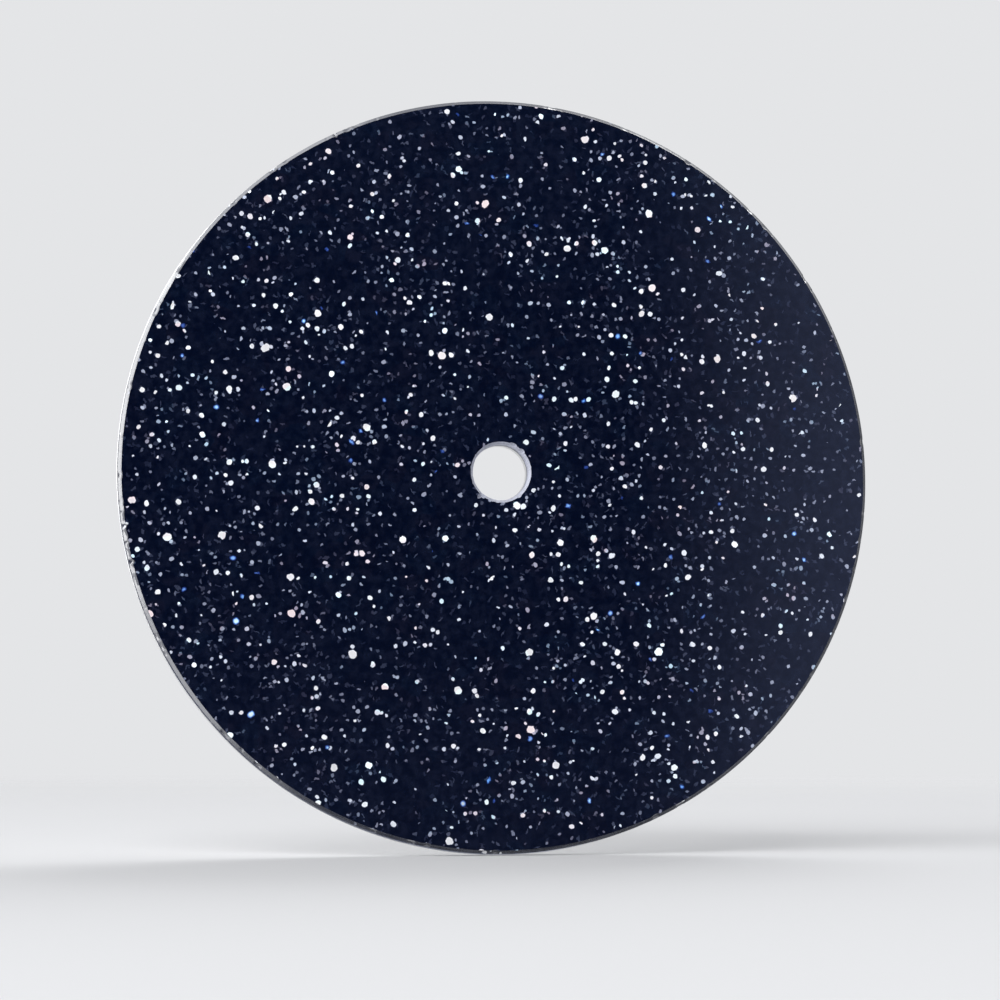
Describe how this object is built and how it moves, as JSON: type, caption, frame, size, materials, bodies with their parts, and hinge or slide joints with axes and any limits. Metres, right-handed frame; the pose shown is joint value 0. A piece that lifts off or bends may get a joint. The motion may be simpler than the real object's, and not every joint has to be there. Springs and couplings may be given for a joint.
{
  "type": "watch dial",
  "caption": "Thin round blank watch dial: a bevelled wafer of dark blue sparkling glass bonded to a metal plate, with a centre hole and soldered feet on its back.",
  "frame": {"origin": "on the axis of the centre hole, in the plane where the back of the base plate seats on the movement", "axes": "the dial stands upright: +Z points to twelve o'clock, +X to three o'clock as seen from the front, the face looks along -Y and the feet point along +Y"},
  "size_m": [0.0285, 0.003, 0.0284],
  "materials": {
    "aventurine_glass": "polished dark blue glass full of small bright flakes, with ground bevels",
    "adhesive": "cured clear adhesive, seen only at its edge",
    "plated_plate": "silver-coloured plating over brass, fine round graining on the back",
    "foot_copper": "drawn copper wire, slightly dulled",
    "solder": "tin solder, satin with slight ripples"
  },
  "bodies": {
    "root": {"aventurine_wafer": "aventurine_glass", "adhesive_film": "adhesive", "base_plate": "plated_plate", "dial_foot_1": "foot_copper", "dial_foot_2": "foot_copper", "dial_foot_3": "foot_copper", "dial_foot_4": "foot_copper", "foot_solder_1": "solder", "foot_solder_2": "solder", "foot_solder_3": "solder", "foot_solder_4": "solder"}
  },
  "joints": []
}
